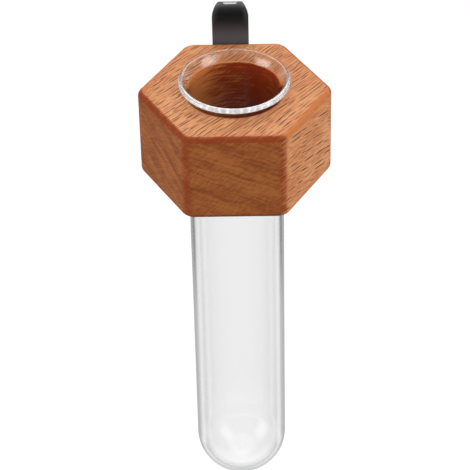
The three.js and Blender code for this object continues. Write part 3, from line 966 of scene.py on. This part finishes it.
def screw_tree():
    """Geometry nodes of the screws: one turned screw with a thread and a cross recess, set in a row."""
    sizes = ["Thread Pitch", "Thread Depth", "Thread Low", "Thread High", "Head Height", "Recess Span",
             "Recess Width", "Recess Depth"]
    tree, wire, given = new_tree(
        "GeometryNodeTree", "clip_screws",
        [("Geometry", "Geometry"), ("Outline", "Object"), ("Segments", "Int", 48),
         *((size, "Float") for size in sizes), ("Count", "Int", 2), ("First", "Vector"),
         ("Spacing", "Vector"), ("Seed", "Int"), ("Finish", "Material")],
        [("Geometry", "Geometry")])

    # Thread: a ridge that climbs one pitch in each turn
    position = wire.node("GeometryNodeInputPosition")[0]
    place = wire.separate(position)
    low, high = given["Thread Low"], given["Thread High"]
    turns = wire.math("ARCTAN2", place["Y"], place["X"]) / (2 * math.pi)
    climb = wire.math("FRACT", place["Z"] / given["Thread Pitch"] - turns)
    ridge = wire.ramp(abs(climb - 0.5), RIDGE_CREST, RIDGE_FOOT, 1.0, 0.0)
    run_in = wire.ramp(place["Z"], low, low + THREAD_RUN_IN)
    run_out = wire.ramp(place["Z"], high - THREAD_RUN_OUT, high, 1.0, 0.0)
    rise = ridge * given["Thread Depth"] * (run_in * run_out)
    outward = wire.math("NORMALIZE", wire.combine(place["X"], place["Y"], 0.0))
    threaded = wire.node("GeometryNodeSetPosition", {"Geometry": turn_outline(wire, given),
                                                     "Offset": outward * wire.combine(rise, rise, 0.0)})

    # Cross recess: two arms that taper towards their floor
    arm_size = wire.combine(given["Recess Span"], given["Recess Width"], given["Recess Depth"] * 2.0)
    arm = wire.node("GeometryNodeMeshCube", {"Size": arm_size})
    tapered = wire.node("GeometryNodeSetPosition", {"Geometry": arm["Mesh"], "Selection": place["Z"] < 0.0,
                                                    "Position": position * RECESS_TAPER})
    crossing = wire.node("GeometryNodeTransform", {"Geometry": tapered[0],
                                                   "Rotation": (0.0, 0.0, math.pi / 2)})
    cross = wire.node("GeometryNodeMeshBoolean", {"Mesh 2": [tapered[0], crossing[0]]},
                      operation="UNION", solver="EXACT")
    rubbed = wire.node("GeometryNodeStoreNamedAttribute",
                       {"Geometry": cross["Mesh"], "Name": EDGE_ATTRIBUTE, "Value": 1.0},
                       data_type="FLOAT", domain="POINT")
    to_head = wire.combine(0.0, 0.0, given["Head Height"])
    raised = wire.node("GeometryNodeTransform", {"Geometry": rubbed[0], "Translation": to_head})
    cut = wire.node("GeometryNodeMeshBoolean", {"Mesh 1": threaded[0], "Mesh 2": raised[0]},
                    operation="DIFFERENCE", solver="EXACT")

    # Row of screws with their heads to the back, each turned by its own amount
    row = wire.node("GeometryNodeMeshLine", {"Count": given["Count"], "Start Location": given["First"],
                                             "Offset": given["Spacing"]})
    chance = wire.node("FunctionNodeRandomValue", {"Seed": given["Seed"]}, data_type="FLOAT")
    spin = wire.combine(0.0, 0.0, chance[1] * (math.pi / 2))
    facing = wire.node("FunctionNodeEulerToRotation", {"Euler": (-math.pi / 2, 0.0, 0.0)})
    turned_by = wire.node("FunctionNodeEulerToRotation", {"Euler": spin})
    rotation = wire.node("FunctionNodeRotateRotation", {"Rotation": facing[0], "Rotate By": turned_by[0]},
                         rotation_space="LOCAL")
    screws = wire.node("GeometryNodeInstanceOnPoints", {"Points": row["Mesh"], "Instance": cut["Mesh"],
                                                        "Rotation": rotation[0]})
    end_tree(wire, screws[0], given["Finish"])
    return tree


class MidlinePen:
    """A pen that walks the clip's midline, seen from the side, and marks where the strip's sections stand.
    Its heading is measured from straight up towards the vent."""

    def __init__(self, y, z):
        self.y = y
        self.z = z
        self.heading = 0.0
        self.stations = []

    def mark(self, width, inset=0.0):
        self.stations.append((self.y, self.z, self.heading, width, inset))

    def straight(self, distance):
        self.y += distance * math.sin(self.heading)
        self.z += distance * math.cos(self.heading)

    def round(self, radius, angle):
        side = math.copysign(1.0, angle)
        centre_y = self.y + side * radius * math.cos(self.heading)
        centre_z = self.z - side * radius * math.sin(self.heading)
        self.heading += angle
        self.y = centre_y - side * radius * math.cos(self.heading)
        self.z = centre_z + side * radius * math.sin(self.heading)


def end_inset(distance, edge_round):
    """How far the strip is drawn in by its rounded edge, at that distance from its end."""
    left = 1 - min(distance / edge_round, 1.0)
    return edge_round * (1 - math.sqrt(1 - left ** 2))


def clip_stations(clip):
    """Stations from the foot of the base leg, up over the hook and down to the tip of the tongue."""
    width = CLIP_HIGH.x - CLIP_LOW.x
    foot = CLIP_LOW.z
    mid_radius = clip.bend_radius + clip.thickness / 2
    tip_radius = clip.tongue_width / 2
    foot_steps, leg_steps, bend_steps, straight_steps, grip_steps, tip_steps = 14, 16, 64, 6, 20, 16
    pen = MidlinePen(CLIP_LOW.y + clip.thickness / 2, foot)

    # Foot, rounded at its corners and eased along its lower edge, then the base leg
    for share in steps(foot_steps):
        turn = share * math.pi / 2
        rise = clip.foot_round * (1 - math.cos(turn))
        pen.straight(foot + rise - pen.z)
        pen.mark(width - 2 * clip.foot_round * (1 - math.sin(turn)), end_inset(rise, clip.edge_round))
    leg_start = pen.z
    for share in steps(leg_steps)[1:]:
        pen.straight(leg_start + share * (-clip.bend_radius - leg_start) - pen.z)
        pen.mark(width)

    # Hook, whose shoulders ease in to the tongue's width over the crest
    for _ in range(bend_steps):
        pen.round(mid_radius, (math.pi + clip.tongue_lean) / bend_steps)
        eased = smooth_step(pen.heading, clip.shoulder_start, clip.shoulder_end)
        pen.mark(width + (clip.tongue_width - width) * eased)

    # Tongue, leaning in to the grip and flaring out again
    for _ in range(straight_steps):
        pen.straight(clip.tongue_straight / straight_steps)
        pen.mark(clip.tongue_width)
    for _ in range(grip_steps):
        pen.round(clip.grip_radius, -(clip.tongue_lean + clip.tip_flare) / grip_steps)
        pen.mark(clip.tongue_width)
    pen.straight(clip.tip_length - tip_radius)
    pen.mark(clip.tongue_width)

    # Round tip
    before = 0.0
    for share in steps(tip_steps)[1:]:
        turn = share * TIP_TURN
        pen.straight(tip_radius * (math.sin(turn) - math.sin(before)))
        left = tip_radius * (1 - math.sin(turn))
        pen.mark(clip.tongue_width * math.cos(turn), end_inset(left, clip.edge_round))
        before = turn
    return pen.stations


def strip_section(width, thickness, edge_round, corner_steps=4, face_steps=6):
    """Section of the strip as (across, through) points with rounded corners, and each point's edge share."""
    half_width, half_thickness = width / 2, thickness / 2
    radius = min(edge_round, 0.9 * half_width, 0.9 * half_thickness)
    corners = [(1, -1), (1, 1), (-1, 1), (-1, -1)]
    points, shares = [], []
    for number, (side, face) in enumerate(corners):
        centre = (side * (half_width - radius), face * (half_thickness - radius))
        start = (number - 1) * math.pi / 2
        points += arc(centre, radius, start, start + math.pi / 2, corner_steps)
        shares += [1.0] * (corner_steps + 1)
        if number in (1, 3):
            end = -side * (half_width - radius)
            for share in steps(face_steps)[1:-1]:
                points.append((centre[0] + share * (end - centre[0]), face * half_thickness))
                shares.append(0.0)
    return points, shares


def clip_mesh(clip):
    """The strip lofted along its midline."""
    rings, shares = [], []
    for y, z, heading, width, inset in clip_stations(clip):
        section, edge_shares = strip_section(width - 2 * inset, clip.thickness - 2 * inset, clip.edge_round)
        rings.append([(across, y + through * math.cos(heading), z - through * math.sin(heading))
                      for across, through in section])
        shares.append(edge_shares)
    return skin("vent_clip", rings, shares, looped=False)


def screw_places():
    """Where the screws stand on the clip, as (x, z), the lower one first."""
    boxes = [(LOWER_SCREW_LOW, LOWER_SCREW_HIGH), (UPPER_SCREW_LOW, UPPER_SCREW_HIGH)]
    return [((low.x + high.x) / 2, (low.z + high.z) / 2) for low, high in boxes]


# Stage


def turned_back(path):
    """1 for light that a surface has turned back a few times, 0 for light that went straight through the
    glass or that ran down inside its wall."""
    return (path["Glossy Depth"] > 0.5) * (path["Glossy Depth"] < FEW_TURNS)


def mirrored_or_bent(path):
    """1 for what is seen in a mirroring surface or through glass, else 0."""
    return path.wire.larger(path["Is Glossy Ray"], path["Is Transmission Ray"])


def after_long_way(path):
    """What the glass leaves of light that ran a long way inside its wall."""
    return path.wire.ramp(path["Glossy Depth"], FEW_TURNS, FEW_TURNS + 1.0, 1.0, LONG_WAY_LEFT)


def floor_finish(stage):
    """Pale floor, white to the camera. Glass and metal see it white under and behind the vase and dim in
    front of it, and it keeps the vase's shadow."""
    material, wire = new_finish("pale_floor")
    path = wire.node("ShaderNodeLightPath")
    grain = place_group(wire, fine_relief, scale=300.0)
    pale = wire.mix(wire.ramp(grain["Value"], 0.3, 0.7), stage.floor_colour, toned(stage.floor_colour, 0.97))
    matt = wire.node("ShaderNodeBsdfPrincipled",
                     {"Base Color": pale, "Roughness": 0.9, "Specular IOR Level": 0.0})[0]

    # White to the camera, with a soft shadow
    glow = wire.node("ShaderNodeEmission", {"Color": WHITE, "Strength": FLOOR_GLOW})
    soft = wire.node("ShaderNodeMixShader", {0: FLOOR_FADED, 1: matt})
    to_camera = wire.node("ShaderNodeAddShader", {0: soft[0], 1: glow[0]})
    plain = wire.node("ShaderNodeMixShader", {0: path["Is Camera Ray"], 1: matt, 2: to_camera[0]})

    # Bright under the vase, far off and behind it, where two dark lines run, and dim elsewhere
    spot = object_point(wire) - (AXIS_X, AXIS_Y, TUBE_LOW.z - stage.floor_drop)
    away = wire.length(spot)
    heading = wire.separate(spot)["Y"] / away
    behind = wire.ramp(heading, 0.2, 0.4) * wire.ramp(heading, 0.5, 0.82, 0.85, 0.42)
    outer_line = wire.ramp(heading, 0.955, 0.985)
    inner_line = wire.ramp(heading, 0.7, 0.745) * wire.ramp(heading, 0.8, 0.86, 1.0, 0.0)
    lines = wire.larger(outer_line, inner_line) * wire.ramp(away, 0.15, 0.21)
    under = wire.ramp(away, 0.06, 0.1, 0.6, 0.0)
    beyond = wire.ramp(away, 0.9, 1.2) * (heading < 0.3)
    bright = wire.larger(wire.larger(under, beyond), behind * (1.0 - lines))
    dim = turned_back(path) * (1.0 - bright) * 0.93
    seen = wire.node("ShaderNodeEmission", {"Color": WHITE, "Strength": (1.0 - dim) * after_long_way(path)})
    to_all = wire.node("ShaderNodeMixShader", {0: mirrored_or_bent(path), 1: plain[0], 2: seen[0]})
    wire.node("ShaderNodeOutputMaterial", {"Surface": to_all[0]})
    return material


def make_floor(stage):
    """One wide floor under the hanging tube."""
    half = stage.floor_size / 2
    height = TUBE_LOW.z - stage.floor_drop
    corners = [(-half, -half, height), (half, -half, height), (half, half, height), (-half, half, height)]
    mesh = bpy.data.meshes.new("floor")
    mesh.from_pydata(corners, [], [(0, 1, 2, 3)])
    mesh.materials.append(floor_finish(stage))
    floor = new_object("floor", mesh)


def make_world(stage):
    """Even light from all round, white to the camera. Glass and metal see it bright overhead and behind."""
    world = bpy.data.worlds.new("studio")
    wire = fresh_wiring(world)
    path = wire.node("ShaderNodeLightPath")
    towards = wire.separate(wire.node("ShaderNodeTexCoord")["Generated"])
    overhead = wire.ramp(towards["Z"], 0.7, 0.95, 0.05, 1.0)
    behind = wire.ramp(towards["Y"], 0.3, 0.8, 0.05, 0.9)
    through_glass = (path["Transmission Depth"] > 0.5) * (1.0 - turned_back(path) * 0.9)
    seen = wire.larger(wire.larger(overhead, behind), through_glass) * after_long_way(path)
    mirrored = mirrored_or_bent(path)
    even = 1.0 - wire.larger(mirrored, path["Is Camera Ray"])
    strength = mirrored * seen + path["Is Camera Ray"] + even * stage.sky
    light = wire.node("ShaderNodeBackground", {"Color": WHITE, "Strength": strength})
    wire.node("ShaderNodeOutputWorld", {"Surface": light[0]})
    bpy.context.scene.world = world


def seen_in_gloss(wire):
    """How bright a lamp looks: clear in a first surface's mirror, faint through the glass, else plain."""
    path = wire.node("ShaderNodeLightPath")
    sharp = path["Diffuse Depth"] < 0.5
    inside = path["Transmission Depth"] > 0.5
    at_first = (path["Glossy Depth"] > 0.5) * (1.0 - inside)
    change = at_first * (GLINT - 1.0) + inside * (FAINT_GLINT - 1.0)
    return sharp * change + 1.0


def soften_lamp(data):
    """Makes a lamp fade from its middle to its edges, with its power kept."""
    wire = fresh_wiring(data)
    across = wire.separate(wire.node("ShaderNodeNewGeometry")["Parametric"])
    fade_x, fade_y = [wire.ramp(abs(across[axis] - 0.5), 0.1, 0.5, 1.0, 0.0) for axis in ("X", "Y")]
    strength = fade_x * fade_y / MEAN_FADE ** 2 * seen_in_gloss(wire)
    glow = wire.node("ShaderNodeEmission", {"Strength": strength})
    wire.node("ShaderNodeOutputLight", {"Surface": glow[0]})


def make_lamp(name, place, power, width, height):
    """A soft rectangular lamp that faces the block."""
    data = bpy.data.lights.new(name, "AREA")
    soften_lamp(data)
    data.shape = "RECTANGLE"
    data.size = width
    data.size_y = height
    data.energy = power
    lamp = new_object(name, data)
    lamp.location = place
    lamp.rotation_euler = (BLOCK_TOP_CENTRE - place).to_track_quat("-Z", "Y").to_euler()
    lamp.visible_camera = False


def way_towards(azimuth, elevation):
    """The way from the block to a place round it, with the azimuth measured from the front."""
    level = math.cos(elevation)
    return Vector((level * math.sin(azimuth), -level * math.cos(azimuth), math.sin(elevation)))


def make_lamps(stage):
    """Two tall soft lamps, one to each side of the front, and one above and behind on the right."""
    sides = [("right_lamp", stage.right_azimuth, stage.right_elevation, stage.right_power),
             ("left_lamp", stage.left_azimuth, stage.left_elevation, stage.left_power)]
    for name, azimuth, elevation, power in sides:
        place = BLOCK_TOP_CENTRE + stage.lamp_distance * way_towards(azimuth, elevation)
        make_lamp(name, place, power, stage.lamp_width, stage.lamp_height)
    place = BLOCK_TOP_CENTRE + stage.top_distance * TOP_LAMP_WAY
    make_lamp("top_lamp", place, stage.top_power, stage.top_size, stage.top_size)


def allow_long_light_paths(stage):
    """Lets light run the whole length of the tube's wall, which it enters at the lip and leaves at the
    bottom."""
    cycles = bpy.context.scene.cycles
    cycles.max_bounces = stage.light_turns
    cycles.glossy_bounces = stage.light_turns
    cycles.transmission_bounces = stage.light_turns


def make_camera(stage):
    """The camera that saw the photograph, fitted to the block's outline, the lip and the tube."""
    roll = stage.camera_roll
    back = way_towards(stage.camera_azimuth, stage.camera_elevation)
    level_right = (-back).cross(Vector((0, 0, 1))).normalized()
    level_up = level_right.cross(-back)
    right = math.cos(roll) * level_right + math.sin(roll) * level_up
    up = math.cos(roll) * level_up - math.sin(roll) * level_right
    data = bpy.data.cameras.new("camera")
    data.sensor_width = SENSOR_WIDTH
    data.lens = stage.camera_lens
    data.clip_start = NEAREST_SEEN
    data.clip_end = FARTHEST_SEEN
    camera = new_object("camera", data)
    place = BLOCK_TOP_CENTRE + back * stage.camera_distance
    place = place + right * stage.camera_right - up * stage.camera_down
    turn = Matrix((right, up, back)).transposed().to_4x4()
    camera.matrix_world = Matrix.Translation(place) @ turn
    bpy.context.scene.camera = camera


# Operators


class VASE_OT_stage(bpy.types.Operator):
    """Sets up the camera, the floor, the lamps and the light from all round"""

    bl_idname = "vase.stage"
    bl_label = "Stage"

    def execute(self, context):
        stage = context.scene.vase_stage
        context.scene.view_settings.view_transform = "Standard"
        make_camera(stage)
        make_floor(stage)
        make_world(stage)
        make_lamps(stage)
        allow_long_light_paths(stage)
        return {"FINISHED"}


class VASE_OT_wood_block(bpy.types.Operator):
    """Makes the rounded, bored wooden block"""

    bl_idname = "vase.wood_block"
    bl_label = "Wooden block"

    def execute(self, context):
        block = context.scene.vase_block
        piece = new_object("bored_block", block_mesh(block))
        drill(piece, screw_places(), block.pilot_diameter, UPPER_SCREW_LOW.y - PILOT_GAP, BLOCK_HIGH.y + MM)
        shade(piece, wood_finish(block))
        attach(piece, "block")
        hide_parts("wood_block")
        return {"FINISHED"}


class VASE_OT_glass_tube(bpy.types.Operator):
    """Turns the glass tube with its flared lip and round bottom"""

    bl_idname = "vase.glass_tube"
    bl_label = "Glass tube"

    def execute(self, context):
        tube = context.scene.vase_tube
        inputs = {"Segments": tube.segments, "Axis": (AXIS_X, AXIS_Y, 0.0)}
        piece = turn_piece("lipped_tube", tube_outline(tube), tube_tree(), glass_finish(tube), inputs)
        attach(piece, "tube")
        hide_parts("glass_tube")
        return {"FINISHED"}


class VASE_OT_vent_clip(bpy.types.Operator):
    """Bends the spring clip with its hook, tongue and screw holes"""

    bl_idname = "vase.vent_clip"
    bl_label = "Spring clip"

    def execute(self, context):
        clip = context.scene.vase_clip
        piece = new_object("spring_clip", clip_mesh(clip))
        drill(piece, screw_places(), clip.hole_diameter, CLIP_LOW.y - MM, head_seat() + MM)
        shade(piece, coated_steel_finish(clip))
        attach(piece, "block")
        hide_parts("vent_clip")
        return {"FINISHED"}


class VASE_OT_clip_screws(bpy.types.Operator):
    """Sets the two pan-head screws that hold the clip"""

    bl_idname = "vase.clip_screws"
    bl_label = "Screws"

    def execute(self, context):
        screws = context.scene.vase_screws
        (lower_x, lower_z), (upper_x, upper_z) = screw_places()
        seat_y = head_seat()
        inputs = {
            "Segments": screws.segments, "Seed": screws.seed, "Thread Pitch": screws.thread_pitch,
            "Thread Depth": screws.thread_depth, "Thread Low": UPPER_SCREW_LOW.y - seat_y,
            "Thread High": -PLAIN_SHANK, "Head Height": screws.head_height,
            "Recess Span": screws.recess_span, "Recess Width": screws.recess_width,
            "Recess Depth": screws.recess_depth, "Count": len(screw_places()),
            "First": (lower_x, seat_y, lower_z), "Spacing": (upper_x - lower_x, 0.0, upper_z - lower_z)}
        piece = turn_piece("clip_screws", screw_outline(screws), screw_tree(), oxide_steel_finish(screws),
                           inputs, sharp_degrees=40)
        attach(piece, "block")
        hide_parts("clip_screw_upper", "clip_screw_lower")
        return {"FINISHED"}


class VASE_PT_sidebar(bpy.types.Panel):
    """Lists the vase's pieces and their settings"""

    bl_idname = "VASE_PT_sidebar"
    bl_label = "Car vent vase"
    bl_space_type = "VIEW_3D"
    bl_region_type = "UI"
    bl_category = "Vent Vase"

    def draw(self, context):
        for operator, settings in PIECES:
            box = self.layout.box()
            box.operator(operator.bl_idname)
            group = getattr(context.scene, settings)
            for name in group.bl_rna.properties.keys():
                if name not in ("rna_type", "name"):
                    box.prop(group, name)


PIECES = [
    (VASE_OT_stage, "vase_stage"),
    (VASE_OT_wood_block, "vase_block"),
    (VASE_OT_glass_tube, "vase_tube"),
    (VASE_OT_vent_clip, "vase_clip"),
    (VASE_OT_clip_screws, "vase_screws"),
]
SETTINGS = {
    "vase_block": BlockSettings,
    "vase_tube": TubeSettings,
    "vase_clip": ClipSettings,
    "vase_screws": ScrewSettings,
    "vase_stage": StageSettings,
}
CLASSES = [*SETTINGS.values(), *(operator for operator, _ in PIECES), VASE_PT_sidebar]


def register():
    for cls in CLASSES:
        bpy.utils.register_class(cls)
    for name, group in SETTINGS.items():
        setattr(bpy.types.Scene, name, PointerProperty(type=group))


def unregister():
    for name in SETTINGS:
        delattr(bpy.types.Scene, name)
    for cls in reversed(CLASSES):
        bpy.utils.unregister_class(cls)


def main():
    register()
    bpy.ops.vase.stage()
    bpy.ops.vase.wood_block()
    bpy.ops.vase.glass_tube()
    bpy.ops.vase.vent_clip()
    bpy.ops.vase.clip_screws()


if __name__ == "__main__":
    main()
